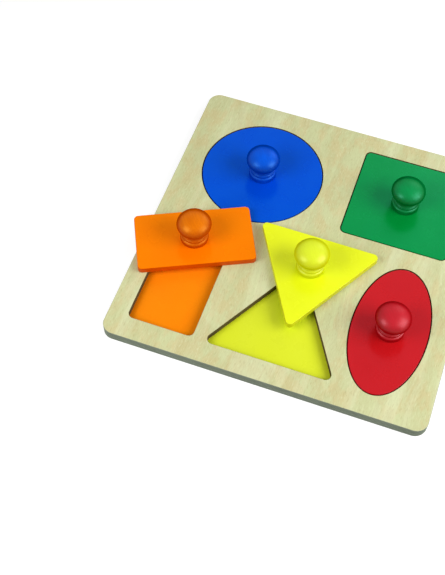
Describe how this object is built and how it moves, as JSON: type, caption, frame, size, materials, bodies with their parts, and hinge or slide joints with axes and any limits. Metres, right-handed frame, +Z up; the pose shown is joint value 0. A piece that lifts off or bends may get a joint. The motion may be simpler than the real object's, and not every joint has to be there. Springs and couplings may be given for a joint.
{
  "type": "shape board",
  "caption": "Square two-layer wooden shape board with rounded corners; five painted, knobbed plates (circle, square, oval, rectangle, triangle) lift out of matching recesses.",
  "frame": {"origin": "centre of the board's flat underside", "axes": "+X to the right along the front edge, +Y to the back edge, +Z up out of the board, along the knobs' axes"},
  "size_m": [0.3142, 0.3, 0.0493],
  "materials": {
    "plywood": "pale, fine-grained plywood with a thin clear coat",
    "blue_paint": "smooth blue satin paint over wood",
    "green_paint": "smooth green satin paint over wood",
    "red_paint": "smooth red satin paint over wood",
    "orange_paint": "smooth orange satin paint over wood",
    "yellow_paint": "smooth yellow satin paint over wood",
    "screw_steel": "bright zinc-plated wood screw"
  },
  "bodies": {
    "board": {"base_sheet": "plywood", "top_sheet": "plywood"},
    "circle_piece": {"circle_plate": "blue_paint", "circle_knob": "blue_paint", "circle_screw": "screw_steel"},
    "square_piece": {"square_plate": "green_paint", "square_knob": "green_paint", "square_screw": "screw_steel"},
    "oval_piece": {"oval_plate": "red_paint", "oval_knob": "red_paint", "oval_screw": "screw_steel"},
    "rectangle_piece": {"rectangle_plate": "orange_paint", "rectangle_knob": "orange_paint", "rectangle_screw": "screw_steel"},
    "triangle_piece": {"triangle_plate": "yellow_paint", "triangle_knob": "yellow_paint", "triangle_screw": "screw_steel"}
  },
  "joints": [
    {"name": "circle_lift", "type": "slide", "parent": "board", "child": "circle_piece", "axis": [0, 0, 1], "range_m": [0, 0.06]},
    {"name": "square_lift", "type": "slide", "parent": "board", "child": "square_piece", "axis": [0, 0, 1], "range_m": [0, 0.06]},
    {"name": "oval_lift", "type": "slide", "parent": "board", "child": "oval_piece", "axis": [0, 0, 1], "range_m": [0, 0.06]},
    {"name": "rectangle_lift", "type": "slide", "parent": "circle_piece", "child": "rectangle_piece", "axis": [0, 0, 1], "range_m": [0, 0.06]},
    {"name": "triangle_lift", "type": "slide", "parent": "board", "child": "triangle_piece", "axis": [0, 0, 1], "range_m": [0, 0.06]}
  ]
}
